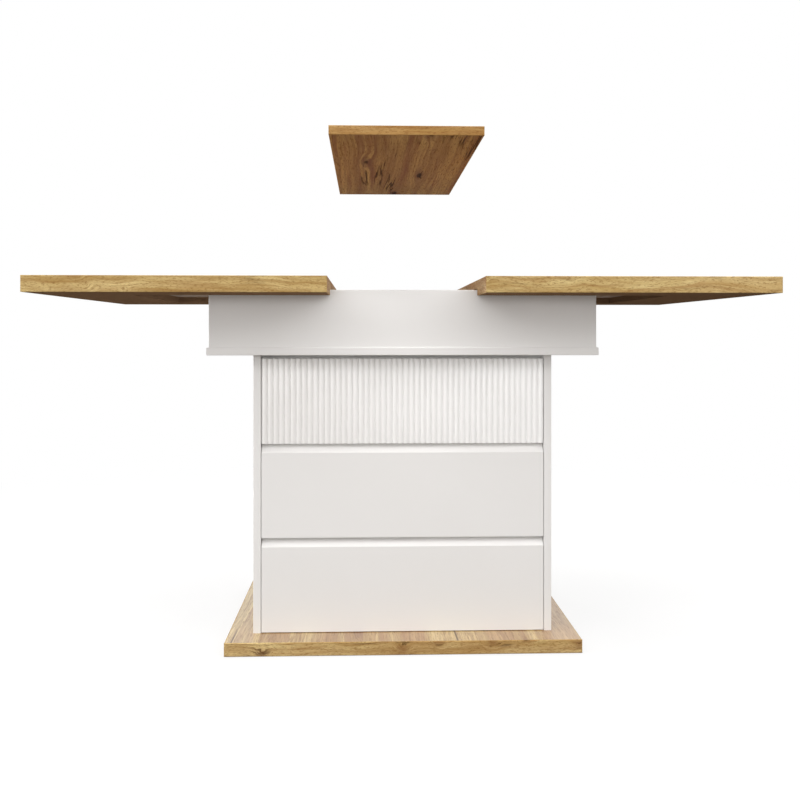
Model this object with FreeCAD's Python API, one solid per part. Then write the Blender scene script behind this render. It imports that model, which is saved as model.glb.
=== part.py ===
"""Extending dining table on a drawer pedestal, in millimetres.

The origin lies on the floor under the middle of the table. +X runs along the
table, +Y to its back and +Z up. The two halves of the top are drawn apart and
the leaf is held above the gap between them.
"""
import os

import FreeCAD
import Part
from FreeCAD import Vector

# Overall sizes of the table
table_height = 770.0
table_depth = 800.0
half_length = 580.0
leaf_width = 300.0
leaf_clearance = 2.5
leaf_lift = 288.0

# Oak top: thin boards with a second layer under their outer edges, and glued edge bands
board_thickness = 18.0
strip_thickness = 14.0
board_arris = 0.8
band_thickness = 2.0

# White apron box under the top
apron_width = 804.0
apron_depth = 502.0
apron_height = 119.5
panel_thickness = 16.0
panel_arris = 1.0
floor_thickness = 16.0
floor_overhang = 4.0
strip_clearance = 3.0
corner_block_leg = 46.0
corner_block_headroom = 12.0

# Slip pads between the apron and the boards
pad_length = 50.0
pad_width = 12.0
pad_thickness = 2.5
pad_margin = 60.0

# Extension slides: grooved rails in the apron, tongued runners under the halves
rail_width = 26.0
rail_height = 44.0
rail_drop = 6.0
rail_tenon = 8.0
groove_height = 10.0
groove_depth = 8.0
runner_width = 22.0
runner_panel_gap = 35.0
runner_reach = 75.0
runner_relief = 0.5
runner_end_clearance = 0.5
slide_clearance = 0.3
seat_clearance = 0.2

# Oak base plate and its glides
base_thickness = 28.0
base_side_overhang = 52.0
base_front_overhang = 65.0
base_arris = 1.5
glide_radius = 16.0
glide_thickness = 5.0
glide_projection = 1.5
glide_inset = 45.0

# White drawer cabinet
cabinet_width = 630.0
cabinet_depth = 426.0

# White rails across the cabinet, behind the gaps between the drawer fronts
cross_rail_setback = 3.0
cross_rail_clearance = 3.5
top_rail_height = 24.0
divider_height = 30.0

# Drawer fronts
front_thickness = 18.0
front_side_gap = 1.0
front_gap = 1.0
front_base_gap = 1.0
grip_gap = 8.0
bevel_rise = 18.0
bevel_flat = 3.0
reed_count = 50
reed_height = 4.0

# Drawer boxes
drawer_rear_clearance = 12.0
drawer_wall = 12.0
drawer_base_thickness = 3.2
drawer_base_lift = 10.0
drawer_groove_depth = 6.0
drawer_box_lift = 14.0
drawer_box_headroom = 38.0

# Steel drawer runners
track_height = 45.0
track_depth = 10.5
track_sheet = 1.5
track_lip = 4.0
track_setback = 5.0
slide_space = 13.0

# Flat-headed screws: length, shank radius, head radius, head height
base_screw = (64.0, 3.0, 6.0, 4.0)
floor_screw = (50.0, 2.5, 5.0, 3.0)
runner_screw = (34.0, 2.0, 4.0, 3.0)
round_clearance = 0.3
screw_end_margin = 60.0
runner_screw_margin = 30.0
runner_counterbore_radius = 5.0
screw_bite = 12.0

# Levels and planes that follow from the sizes
open_gap = leaf_width + 2 * leaf_clearance
base_bottom = glide_projection
cabinet_bottom = base_bottom + base_thickness
board_bottom = table_height - board_thickness
strip_bottom = board_bottom - strip_thickness
apron_top = board_bottom - pad_thickness
apron_bottom = apron_top - apron_height
cabinet_top = apron_bottom - floor_thickness
rail_top = board_bottom - rail_drop
rail_bottom = rail_top - rail_height
groove_level = rail_bottom + rail_height / 2
apron_inner_width = apron_width - 2 * panel_thickness
apron_inner_depth = apron_depth - 2 * panel_thickness
rail_offset = apron_inner_depth / 2 - runner_panel_gap - runner_width - slide_clearance - rail_width / 2
corner_block_height = rail_bottom - apron_bottom - corner_block_headroom
cabinet_inner_width = cabinet_width - 2 * panel_thickness
cabinet_front = -cabinet_depth / 2
side_strip_width = (table_depth - apron_depth) / 2 - strip_clearance
end_strip_width = half_length - apron_width / 2 - strip_clearance
front_width = cabinet_inner_width - 2 * front_side_gap
front_back_face = cabinet_front + front_thickness
stack_height = cabinet_top - cabinet_bottom
front_face_height = (stack_height - front_base_gap - 2 * front_gap - 2 * bevel_rise - grip_gap) / 3
plain_front_height = front_face_height + bevel_rise
bottom_front_level = cabinet_bottom + front_base_gap
middle_front_level = bottom_front_level + plain_front_height + front_gap
top_front_level = middle_front_level + plain_front_height + front_gap
drawer_box_width = cabinet_inner_width - 2 * slide_space
drawer_box_height = front_face_height - drawer_box_headroom
drawer_back_face = cabinet_depth / 2 - panel_thickness - drawer_rear_clearance
track_start = front_back_face + track_setback
track_length = drawer_back_face - track_setback - track_start

LEFT, RIGHT = -1, 1
FRONT, REAR = -1, 1
SAME_PLANE = 0.01


def block(x_limits, y_limits, z_limits):
    """A box between a pair of limits along each axis, given in either order."""
    low = Vector(min(x_limits), min(y_limits), min(z_limits))
    high = Vector(max(x_limits), max(y_limits), max(z_limits))
    size = high - low
    return Part.makeBox(size.x, size.y, size.z, low)


def about(middle, size):
    """The two limits of a size centred on a middle."""
    return (middle - size / 2, middle + size / 2)


def evenly(first, last, count):
    """A number of places spread evenly from the first to the last."""
    step = (last - first) / (count - 1)
    return [first + i * step for i in range(count)]


def prism(points, travel):
    """A closed outline of straight edges carried along a straight travel."""
    outline = Part.makePolygon(points + points[:1])
    return Part.Face(outline).extrude(travel)


def edges_in_plane(shape, axis, value):
    """The edges of a shape that lie where one coordinate has the given value."""
    found = []
    for edge in shape.Edges:
        low = getattr(edge.BoundBox, axis + "Min")
        high = getattr(edge.BoundBox, axis + "Max")
        if abs(low - value) < SAME_PLANE and abs(high - value) < SAME_PLANE:
            found.append(edge)
    return found


def mirrored(shape):
    """The same shape on the other side of the table's middle."""
    return shape.mirror(Vector(0, 0, 0), Vector(1, 0, 0))


def screw(sizes, head_centre, direction, grow=0.0):
    """A flat-headed screw running up (1) or down (-1) from its flush head; grown, it is its hole."""
    length, shank_radius, head_radius, head_height = sizes
    shank = shank_radius + grow
    head = head_radius + grow
    end = length + grow
    outline = [(0, 0), (head, 0), (head, head_height), (shank, head_height), (shank, end), (0, end)]
    points = [Vector(radius, 0, along * direction) for radius, along in outline]
    face = Part.Face(Part.makePolygon(points + points[:1]))
    turned = face.revolve(Vector(0, 0, 0), Vector(0, 0, 1), 360)
    turned.translate(head_centre)
    return turned


def screws_and_holes(sizes, centres, direction):
    """A group of like screws, and the list of the holes that they need."""
    group = Part.makeCompound([screw(sizes, centre, direction) for centre in centres])
    holes = [screw(sizes, centre, direction, round_clearance) for centre in centres]
    return group, holes


def save(name, shape):
    shape.exportStep(os.path.join("parts", name + ".step"))
    print(name, len(shape.Solids), "solids", round(shape.Volume / 1000, 1), "cm3")


# Screw places shared by the pieces on both sides of a joint
cabinet_side_middle = (cabinet_width - panel_thickness) / 2
cabinet_screw_rows = evenly(cabinet_front + screw_end_margin, -cabinet_front - screw_end_margin, 2)
cabinet_screw_spots = [(side * cabinet_side_middle, y) for side in (LEFT, RIGHT) for y in cabinet_screw_rows]
base_screws, base_screw_holes = screws_and_holes(
    base_screw, [Vector(x, y, base_bottom) for x, y in cabinet_screw_spots], 1)
floor_screws, floor_screw_holes = screws_and_holes(
    floor_screw, [Vector(x, y, apron_bottom) for x, y in cabinet_screw_spots], -1)

long_panel_middle = (apron_depth - panel_thickness) / 2


def banded_core(width, depth, z_limits):
    """A board centred on the table's middle, inside its edge bands."""
    return block(about(0, width - 2 * band_thickness), about(0, depth - 2 * band_thickness), z_limits)


def edge_band(x_limits, y_limits, z_limits, axis, outer, arris):
    """A band glued to an edge, with its outer face eased all round."""
    band = block(x_limits, y_limits, z_limits)
    return band.makeChamfer(arris, edges_in_plane(band, axis, outer))


def bands_round(width, depth, z_limits, arris):
    """Four bands round a centred board; the front and rear ones cover the ends of the other two."""
    bands = []
    between = about(0, depth - 2 * band_thickness)
    for sign in (-1, 1):
        outer = sign * depth / 2
        thickness = (outer, outer - sign * band_thickness)
        bands.append(edge_band(about(0, width), thickness, z_limits, "Y", outer, arris))
        outer = sign * width / 2
        thickness = (outer, outer - sign * band_thickness)
        bands.append(edge_band(thickness, between, z_limits, "X", outer, arris))
    return Part.makeCompound(bands)


def base_plate_bands_and_glides():
    """The oak base, its edge bands, and the round glides set into its underside."""
    width = cabinet_width + 2 * base_side_overhang
    depth = cabinet_depth + 2 * base_front_overhang
    levels = (base_bottom, cabinet_bottom)
    plate = banded_core(width, depth, levels)
    bands = bands_round(width, depth, levels, base_arris)
    spots = [Vector(x * (width / 2 - glide_inset), y * (depth / 2 - glide_inset), 0)
             for x in (LEFT, RIGHT) for y in (FRONT, REAR)]
    glides = [Part.makeCylinder(glide_radius, glide_thickness, spot) for spot in spots]
    pockets = [Part.makeCylinder(glide_radius + round_clearance, glide_thickness, spot) for spot in spots]
    return plate.cut(pockets + base_screw_holes), bands, Part.makeCompound(glides)


def cabinet_side(side):
    """A white side panel with eased front edges, standing on the base."""
    outer = side * cabinet_width / 2
    inner = side * cabinet_inner_width / 2
    panel = block((inner, outer), about(0, cabinet_depth), (cabinet_bottom, cabinet_top))
    front_edges = edges_in_plane(panel, "Y", cabinet_front)
    upright = [edge for edge in front_edges if edge.BoundBox.ZLength > panel_arris]
    return panel.makeChamfer(panel_arris, upright).cut(base_screw_holes + floor_screw_holes)


def cabinet_back():
    """The white back panel between the two sides."""
    rear = cabinet_depth / 2
    levels = (cabinet_bottom, cabinet_top)
    return block(about(0, cabinet_inner_width), (rear - panel_thickness, rear), levels)


def cabinet_cross_rail(low, high):
    """A white rail between the cabinet's sides, just behind the drawer fronts."""
    front = front_back_face + cross_rail_setback
    return block(about(0, cabinet_inner_width), (front, front + panel_thickness), (low, high))


def cabinet_dividers():
    """The rails behind the gaps between the fronts, clear of the drawer boxes above them."""
    rails = []
    for level in (middle_front_level, top_front_level):
        high = drawer_levels(level)[0] - cross_rail_clearance
        rails.append(cabinet_cross_rail(high - divider_height, high))
    return Part.makeCompound(rails)


def apron_floor():
    """The board that closes the apron box below and stands out all round it."""
    width = apron_width + 2 * floor_overhang
    depth = apron_depth + 2 * floor_overhang
    board = block(about(0, width), about(0, depth), (cabinet_top, apron_bottom))
    rims = edges_in_plane(board, "Z", apron_bottom) + edges_in_plane(board, "Z", cabinet_top)
    return board.makeChamfer(panel_arris, rims).cut(floor_screw_holes)


def apron_long_panel(side):
    """The apron's front or rear panel, over its whole width."""
    outer = side * apron_depth / 2
    panel = block(about(0, apron_width), (outer, outer - side * panel_thickness), (apron_bottom, apron_top))
    face_edges = edges_in_plane(panel, "Y", outer)
    visible = [edge for edge in face_edges if edge.BoundBox.ZMax > apron_bottom + SAME_PLANE]
    return panel.makeChamfer(panel_arris, visible)


def apron_end_panel(side):
    """An end panel between the long ones, with sockets for the tenons of the guide rails."""
    outer = side * apron_width / 2
    inner = side * apron_inner_width / 2
    panel = block((outer, inner), about(0, apron_inner_depth), (apron_bottom, apron_top))
    sockets = [block((inner, inner + side * rail_tenon),
                     about(rail_y(place), rail_width + 2 * seat_clearance),
                     (rail_bottom - seat_clearance, rail_top + seat_clearance))
               for place in (FRONT, REAR)]
    return panel.cut(sockets)


def apron_corner_blocks():
    """Three-cornered glue blocks that brace the corners of the apron box."""
    blocks = []
    for side in (LEFT, RIGHT):
        for place in (FRONT, REAR):
            x = side * apron_inner_width / 2
            y = place * apron_inner_depth / 2
            corner = Vector(x, y, apron_bottom)
            along = Vector(x - side * corner_block_leg, y, apron_bottom)
            across = Vector(x, y - place * corner_block_leg, apron_bottom)
            blocks.append(prism([corner, along, across], Vector(0, 0, corner_block_height)))
    return Part.makeCompound(blocks)


def apron_pads():
    """Slip pads on the top edges of the long panels, always under a half of the top."""
    pads = []
    for place in (FRONT, REAR):
        y_limits = about(place * long_panel_middle, pad_width)
        for side in (LEFT, RIGHT):
            for distance in (open_gap / 2 + pad_margin, apron_width / 2 - pad_margin):
                x_limits = about(side * distance, pad_length)
                pads.append(block(x_limits, y_limits, (apron_top, board_bottom)))
    return Part.makeCompound(pads)


def rail_y(place):
    """The middle of the front or rear guide rail."""
    return place * rail_offset


def guide_rail(place):
    """A bar with a groove along each side, tenoned into the apron's end panels."""
    half = rail_width / 2
    low = groove_level - groove_height / 2
    high = groove_level + groove_height / 2
    right_edge = [(half, rail_bottom), (half, low), (half - groove_depth, low),
                  (half - groove_depth, high), (half, high), (half, rail_top)]
    left_edge = [(-y, z) for y, z in reversed(right_edge)]
    length = apron_inner_width + 2 * (rail_tenon - seat_clearance)
    points = [Vector(-length / 2, rail_y(place) + y, z) for y, z in right_edge + left_edge]
    return prism(points, Vector(length, 0, 0))


def runner_span(side):
    """Where a half's runner starts, beside the apron's end panel, and ends, past the table's middle."""
    return side * (apron_inner_width / 2 - runner_end_clearance), -side * runner_reach


def runner_faces(side, place):
    """A runner's face beside its rail, its far face and its tongue's tip.

    The left half's runners lie outside the two rails and the right half's between them.
    """
    lane = -side * place
    near = rail_y(place) + lane * (rail_width / 2 + slide_clearance)
    return near, near + lane * runner_width, near - lane * groove_depth


def runner_screw_centres(side, place):
    """Two places along the stretch of a runner that lies under its half."""
    start = runner_span(side)[0]
    near, far, tip = runner_faces(side, place)
    places = evenly(start - side * runner_screw_margin, side * (open_gap / 2 + runner_screw_margin), 2)
    head_level = board_bottom + screw_bite - runner_screw[0]
    return [Vector(x, (near + far) / 2, head_level) for x in places]


def runner(side, place):
    """A tongued bar under a half of the top, counterbored for its screws and relieved under the leaf."""
    near, far, tip = runner_faces(side, place)
    low = groove_level - groove_height / 2 + slide_clearance
    high = groove_level + groove_height / 2 - slide_clearance
    outline = [(far, rail_bottom), (near, rail_bottom), (near, low), (tip, low),
               (tip, high), (near, high), (near, board_bottom), (far, board_bottom)]
    start, end = runner_span(side)
    bar = prism([Vector(start, y, z) for y, z in outline], Vector(end - start, 0, 0))
    relief = block((side * open_gap / 2, end), (near, far), (board_bottom - runner_relief, board_bottom))
    centres = runner_screw_centres(side, place)
    holes = [screw(runner_screw, centre, 1, round_clearance) for centre in centres]
    mouths = [Vector(centre.x, centre.y, rail_bottom) for centre in centres]
    depth = centres[0].z - rail_bottom
    bores = [Part.makeCylinder(runner_counterbore_radius, depth, mouth) for mouth in mouths]
    return bar.cut([relief] + holes + bores)


def runner_screws_of(side):
    """The screws of both runners of a half, and their holes."""
    centres = runner_screw_centres(side, FRONT) + runner_screw_centres(side, REAR)
    return screws_and_holes(runner_screw, centres, 1)


def half_limits(side):
    """A half's edge at the gap and its outer end."""
    return side * open_gap / 2, side * (open_gap / 2 + half_length)


def half_core(side):
    """A half's length inside its edge bands."""
    gap, end = half_limits(side)
    return gap + side * band_thickness, end - side * band_thickness


def half_board(side, holes):
    """A half of the oak top with blind holes for the runners' screws."""
    between = about(0, table_depth - 2 * band_thickness)
    return block(half_core(side), between, (board_bottom, table_height)).cut(holes)


def strip_depth(place):
    """The front or rear strip's face behind the edge band, and its inner face."""
    outer = place * table_depth / 2
    return outer - place * band_thickness, outer - place * side_strip_width


def side_strip(side, place):
    """The second layer under a half's front or rear edge, as long as the half."""
    return block(half_core(side), strip_depth(place), (strip_bottom, board_bottom))


def end_strip(side):
    """The second layer under a half's outer end, between its front and rear strips."""
    inner = half_limits(side)[1] - side * end_strip_width
    depth = table_depth - 2 * side_strip_width
    return block((half_core(side)[1], inner), about(0, depth), (strip_bottom, board_bottom))


def half_edge_bands(side):
    """Tall bands over both layers on a half's outer edges, and lower ones on the layers' ends at the gap."""
    gap, end = half_limits(side)
    core_gap, core_end = half_core(side)
    between = about(0, table_depth - 2 * band_thickness)
    both_layers = (strip_bottom, table_height)
    bands = [edge_band((end, core_end), between, both_layers, "X", end, board_arris),
             edge_band((gap, core_gap), between, (board_bottom, table_height), "X", gap, board_arris)]
    for place in (FRONT, REAR):
        outer = place * table_depth / 2
        inner = strip_depth(place)[0]
        bands.append(edge_band((gap, end), (outer, inner), both_layers, "Y", outer, board_arris))
        bands.append(block((gap, core_gap), strip_depth(place), (strip_bottom, board_bottom)))
    return Part.makeCompound(bands)


def leaf_board_and_bands():
    """The plain leaf, lifted above the gap, and its edge bands."""
    levels = (board_bottom + leaf_lift, table_height + leaf_lift)
    bands = bands_round(leaf_width, table_depth, levels, board_arris)
    return banded_core(leaf_width, table_depth, levels), bands


def plain_front(level):
    """A drawer front whose top edge slopes back, so that fingers can reach behind it."""
    face_top = level + front_face_height
    top = level + plain_front_height
    outline = [(cabinet_front, level), (cabinet_front, face_top), (front_back_face - bevel_flat, top),
               (front_back_face, top), (front_back_face, level)]
    points = [Vector(-front_width / 2, y, z) for y, z in outline]
    return prism(points, Vector(front_width, 0, 0))


def reeded_front(level):
    """A drawer front of upright round reeds, each an arc between two valleys."""
    valley = cabinet_front + reed_height
    edges_x = evenly(-front_width / 2, front_width / 2, reed_count + 1)
    outline = []
    for left, right in zip(edges_x, edges_x[1:]):
        crest = Vector((left + right) / 2, cabinet_front, level)
        arc = Part.Arc(Vector(left, valley, level), crest, Vector(right, valley, level))
        outline.append(arc.toShape())
    corners = [Vector(x, y, level) for x, y in ((edges_x[-1], valley), (edges_x[-1], front_back_face),
                                                (edges_x[0], front_back_face), (edges_x[0], valley))]
    for start, end in zip(corners, corners[1:]):
        outline.append(Part.makeLine(start, end))
    return Part.Face(Part.Wire(outline)).extrude(Vector(0, 0, front_face_height))


def drawer_levels(level):
    """The lower edge of a drawer's box and the underside and upper side of its base panel."""
    box_bottom = level + drawer_box_lift
    base_low = box_bottom + drawer_base_lift
    return box_bottom, base_low, base_low + drawer_base_thickness


def drawer_base(level, grow=0.0):
    """The thin panel in the grooves of a drawer's front and sides; grown, it cuts the grooves."""
    box_bottom, low, high = drawer_levels(level)
    reach = drawer_groove_depth - seat_clearance + grow
    width = drawer_box_width - 2 * drawer_wall + 2 * reach
    return block(about(0, width), (front_back_face - reach, drawer_back_face), (low - grow, high + grow))


def drawer_side(level, side):
    """A side of a drawer's box, grooved for the base panel."""
    outer = side * drawer_box_width / 2
    box_bottom = drawer_levels(level)[0]
    wall = block((outer, outer - side * drawer_wall), (front_back_face, drawer_back_face),
                 (box_bottom, box_bottom + drawer_box_height))
    return wall.cut(drawer_base(level, seat_clearance))


def drawer_back(level):
    """The back of a drawer's box, between its sides and on its base panel."""
    box_bottom, base_low, base_high = drawer_levels(level)
    width = drawer_box_width - 2 * drawer_wall
    return block(about(0, width), (drawer_back_face - drawer_wall, drawer_back_face),
                 (base_high, box_bottom + drawer_box_height))


def runner_profile(half_outline, level):
    """An outline from its upper half: distances from the cabinet's side and heights from the middle line."""
    lower = [(reach, -height) for reach, height in reversed(half_outline)]
    middle = drawer_levels(level)[0] + drawer_box_height / 2
    wall = cabinet_inner_width / 2
    return [Vector(wall - reach, track_start, middle + height) for reach, height in half_outline + lower]


def drawer_tracks(level):
    """Two lipped steel channels on the cabinet's sides."""
    top = track_height / 2
    inside = top - track_sheet
    lip_edge = inside - track_lip
    mouth = track_depth - track_sheet
    upper = [(0, top), (track_depth, top), (track_depth, lip_edge), (mouth, lip_edge),
             (mouth, inside), (track_sheet, inside)]
    track = prism(runner_profile(upper, level), Vector(0, track_length, 0))
    return Part.makeCompound([track, mirrored(track)])


def drawer_slides(level):
    """Two folded steel slides on the drawer's sides, hooked behind the lips of the tracks."""
    inside = track_height / 2 - track_sheet
    hook_top = inside - slide_clearance
    stem = inside - track_lip - slide_clearance
    hook_face = track_depth - track_sheet - slide_clearance
    hook_back = hook_face - track_sheet
    low = stem - track_sheet
    upper = [(slide_space, stem), (hook_face, stem), (hook_face, hook_top), (hook_back, hook_top),
             (hook_back, low), (slide_space - track_sheet, low)]
    slide = prism(runner_profile(upper, level), Vector(0, track_length, 0))
    return Part.makeCompound([slide, mirrored(slide)])


def save_drawer(name, level, front):
    """All the pieces of one drawer, and its tracks in the cabinet."""
    save(name + "_front", front.cut(drawer_base(level, seat_clearance)))
    save(name + "_left_side", drawer_side(level, LEFT))
    save(name + "_right_side", drawer_side(level, RIGHT))
    save(name + "_back", drawer_back(level))
    save(name + "_base", drawer_base(level))
    save(name + "_slides", drawer_slides(level))
    save(name + "_tracks", drawer_tracks(level))


def save_half(name, side):
    """All the pieces of one half of the top."""
    screws, holes = runner_screws_of(side)
    save(name + "_board", half_board(side, holes))
    save(name + "_front_strip", side_strip(side, FRONT))
    save(name + "_rear_strip", side_strip(side, REAR))
    save(name + "_end_strip", end_strip(side))
    save(name + "_edge_bands", half_edge_bands(side))
    save(name + "_front_runner", runner(side, FRONT))
    save(name + "_rear_runner", runner(side, REAR))
    save(name + "_runner_screws", screws)


os.makedirs("parts", exist_ok=True)

plate, plate_bands, glides = base_plate_bands_and_glides()
save("base_plate", plate)
save("base_edge_bands", plate_bands)
save("base_glides", glides)
save("base_screws", base_screws)
save("cabinet_left_side", cabinet_side(LEFT))
save("cabinet_right_side", cabinet_side(RIGHT))
save("cabinet_back", cabinet_back())
save("cabinet_top_rail", cabinet_cross_rail(cabinet_top - top_rail_height, cabinet_top))
save("cabinet_dividers", cabinet_dividers())
save("apron_floor", apron_floor())
save("floor_screws", floor_screws)
save("apron_front", apron_long_panel(FRONT))
save("apron_rear", apron_long_panel(REAR))
save("apron_left_end", apron_end_panel(LEFT))
save("apron_right_end", apron_end_panel(RIGHT))
save("apron_corner_blocks", apron_corner_blocks())
save("apron_pads", apron_pads())
save("front_guide_rail", guide_rail(FRONT))
save("rear_guide_rail", guide_rail(REAR))
save_half("left", LEFT)
save_half("right", RIGHT)
leaf, leaf_bands = leaf_board_and_bands()
save("leaf_board", leaf)
save("leaf_edge_bands", leaf_bands)
save_drawer("top_drawer", top_front_level, reeded_front(top_front_level))
save_drawer("middle_drawer", middle_front_level, plain_front(middle_front_level))
save_drawer("bottom_drawer", bottom_front_level, plain_front(bottom_front_level))
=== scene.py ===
# %% [markdown]
# An extending dining table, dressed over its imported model.
# The table has a top in two oak halves drawn apart, an oak leaf held above the gap, a white apron box, a
# white cabinet with three drawers and an oak base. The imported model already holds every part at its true
# size, so this lesson adds what the eye needs: finishes, rounded and reeded surfaces, and small fittings.

import bpy
import numpy as np
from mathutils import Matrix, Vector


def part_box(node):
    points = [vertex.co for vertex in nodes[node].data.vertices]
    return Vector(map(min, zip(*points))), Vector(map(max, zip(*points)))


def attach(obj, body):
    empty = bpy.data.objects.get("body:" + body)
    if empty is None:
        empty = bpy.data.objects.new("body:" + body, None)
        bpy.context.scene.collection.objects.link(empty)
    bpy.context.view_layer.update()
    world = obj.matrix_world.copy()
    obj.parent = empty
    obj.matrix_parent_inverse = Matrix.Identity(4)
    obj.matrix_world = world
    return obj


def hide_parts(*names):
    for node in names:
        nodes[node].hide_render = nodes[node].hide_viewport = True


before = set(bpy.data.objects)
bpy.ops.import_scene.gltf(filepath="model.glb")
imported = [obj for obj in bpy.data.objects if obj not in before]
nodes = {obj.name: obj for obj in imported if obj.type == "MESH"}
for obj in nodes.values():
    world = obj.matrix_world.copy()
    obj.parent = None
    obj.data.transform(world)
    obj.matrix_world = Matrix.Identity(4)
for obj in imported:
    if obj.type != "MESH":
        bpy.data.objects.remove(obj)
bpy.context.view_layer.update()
scene = bpy.context.scene
scene.view_settings.view_transform = "Standard"

# %% [markdown]
# The camera stands about two metres in front of the table, a little to the left, just under the height of
# the top. It looks level, so upright edges stay upright, and the lens is shifted down to bring the base into
# the picture. A tilted camera would frame the same things, but the drawer fronts would then lean.

# %% Camera
PICTURE = 800.0    # width and height of the picture, in pixels
FOCAL = 969.8      # focal length, in pixels
HORIZON = 333.5    # the horizon, in pixels from the top
SENSOR = 36.0      # width of the film, in millimetres
TURN = -0.0345     # turn about the upright axis, in radians
lens = bpy.data.cameras.new("camera")
lens.sensor_width = SENSOR
lens.lens = SENSOR * FOCAL / PICTURE
lens.shift_y = (HORIZON - PICTURE / 2) / PICTURE
camera = bpy.data.objects.new("camera", lens)
camera.location = (-0.0771, -2.2592, 0.6591)
camera.rotation_euler = (np.pi / 2, 0.0, TURN)
scene.collection.objects.link(camera)
scene.camera = camera
print(f"lens {lens.lens:.1f} mm, shift {lens.shift_y:.3f}")

# %% [markdown]
# Much of this file wires shader nodes together. Small helpers keep that readable: one adds a node and feeds
# its sockets, one does a step of arithmetic, and one turns a colour as a painter would write it, 0 to 255,
# into the linear values that Blender mixes.

# %% Helpers for shader nodes
def put(tree, kind, *feeds, named=None, out=0, **settings):
    """Add one node: settings go to its properties, feeds to its sockets in order, named to its sockets by
    name. Gives the output that out counts to."""
    node = tree.nodes.new("ShaderNode" + kind)
    for key, value in settings.items():
        setattr(node, key, value)
    pairs = [(node.inputs[i], feed) for i, feed in enumerate(feeds)]
    pairs += [(node.inputs[key], feed) for key, feed in (named or {}).items()]
    for socket, feed in pairs:
        if isinstance(feed, bpy.types.NodeSocket):
            tree.links.new(feed, socket)
        elif feed is not None:
            socket.default_value = feed
    return node.outputs[out]


def calc(tree, operation, *feeds):
    """One step of arithmetic on numbers."""
    return put(tree, "Math", *feeds, operation=operation)


def paint(red, green, blue):
    """A written colour as linear values: each share is lowered by the curve that screens use."""
    share = np.array([red, green, blue]) / 255.0
    linear = np.where(share <= 0.04045, share / 12.92, ((share + 0.055) / 1.055) ** 2.4)
    return (*linear.tolist(), 1.0)


print("helpers ready:", paint(255, 255, 255))

# %% [markdown]
# The studio has a white sky. Brightness and light are set apart: the lens and every reflection see plain
# white, while the light that the sky throws on the table is weaker and a little warm, so that the lamps can
# shape it. A plain white world would be simpler, but it would light every hollow and leave no shadows.

# %% Sky
def seen(tree, glossy_share):
    """1 for rays from the lens or through clear things, glossy_share for reflections, 0 where a ray only
    lights."""
    path = tree.nodes.new("ShaderNodeLightPath")
    mirrored = calc(tree, "MULTIPLY", path.outputs["Is Glossy Ray"], glossy_share)
    direct = calc(tree, "MAXIMUM", path.outputs["Is Camera Ray"], mirrored)
    return calc(tree, "MAXIMUM", direct, path.outputs["Is Transmission Ray"])


WHITE = (1.0, 1.0, 1.0, 1.0)
sky = bpy.data.worlds.new("sky")
scene.world = sky
sky.use_nodes = True
tree = sky.node_tree
tree.nodes.clear()
light = put(tree, "Background", named={"Color": (1.0, 0.96, 0.92, 1.0), "Strength": 0.5})
white = put(tree, "Background", named={"Color": WHITE, "Strength": 1.0})
mixed = put(tree, "MixShader", seen(tree, glossy_share=1.0), light, white)
tree.links.new(mixed, tree.nodes.new("ShaderNodeOutputWorld").inputs["Surface"])
print("sky nodes:", len(tree.nodes))

# %% [markdown]
# The floor is one large square, as white to the lens as a sweep of studio paper. It glows, fully where it is
# far from the table and a little less near it, so that a soft shadow stays round the base. As a source of
# light it is much darker, so that the undersides of the top stay dark, as they do in a real room.

# %% Floor
def smooth_step(tree, value, low, high, start=0.0, end=1.0):
    """start below low, end above high, and a smooth curve between."""
    return put(tree, "MapRange", value, low, high, start, end, interpolation_type="SMOOTHSTEP")


REACH = 14.0                         # from the middle to the floor's edges, in metres
FLOOR_SEEN = 0.92                    # the floor's shade to the lens
FLOOR_LIGHT = (0.17, 0.155, 0.14)    # and its colour where it only throws light back
corners = REACH * np.array([[-1, -1, 0], [1, -1, 0], [1, 1, 0], [-1, 1, 0]])
floor_mesh = bpy.data.meshes.new("floor")
floor_mesh.from_pydata(corners.tolist(), [], [(0, 1, 2, 3)])
floor = bpy.data.objects.new("floor", floor_mesh)
scene.collection.objects.link(floor)

floor_paint = bpy.data.materials.new("floor_paint")
floor_paint.use_nodes = True
tree = floor_paint.node_tree
tree.nodes.clear()
looked_at = seen(tree, glossy_share=0.45)
away = put(tree, "VectorMath", put(tree, "TexCoord", out=3), operation="LENGTH", out=1)
whiten = smooth_step(tree, away, 0.5, 2.6, start=0.82, end=1.0)
tones = [put(tree, "MapRange", looked_at, 0.0, 1.0, dim, FLOOR_SEEN) for dim in FLOOR_LIGHT]
matt = put(tree, "BsdfDiffuse", put(tree, "CombineColor", *tones))
glow = put(tree, "Emission", named={"Color": WHITE, "Strength": 1.0})
mixed = put(tree, "MixShader", calc(tree, "MULTIPLY", looked_at, whiten), matt, glow)
tree.links.new(mixed, tree.nodes.new("ShaderNodeOutputMaterial").inputs["Surface"])
floor_mesh.materials.append(floor_paint)
print("floor", 2 * REACH, "m wide")

# %% [markdown]
# Most of the light comes from a wide soft box overhead and from two high ones at the sides, so that the apron
# is dark under the halves of the top and bright in between. A low one ahead reaches under the halves. Another
# stands low and far to the left: it hardly touches the flat fronts, but it picks out the left flank of every
# reed. Two lamps behind serve the views from the back. One large lamp would be less work, but flat.

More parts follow.
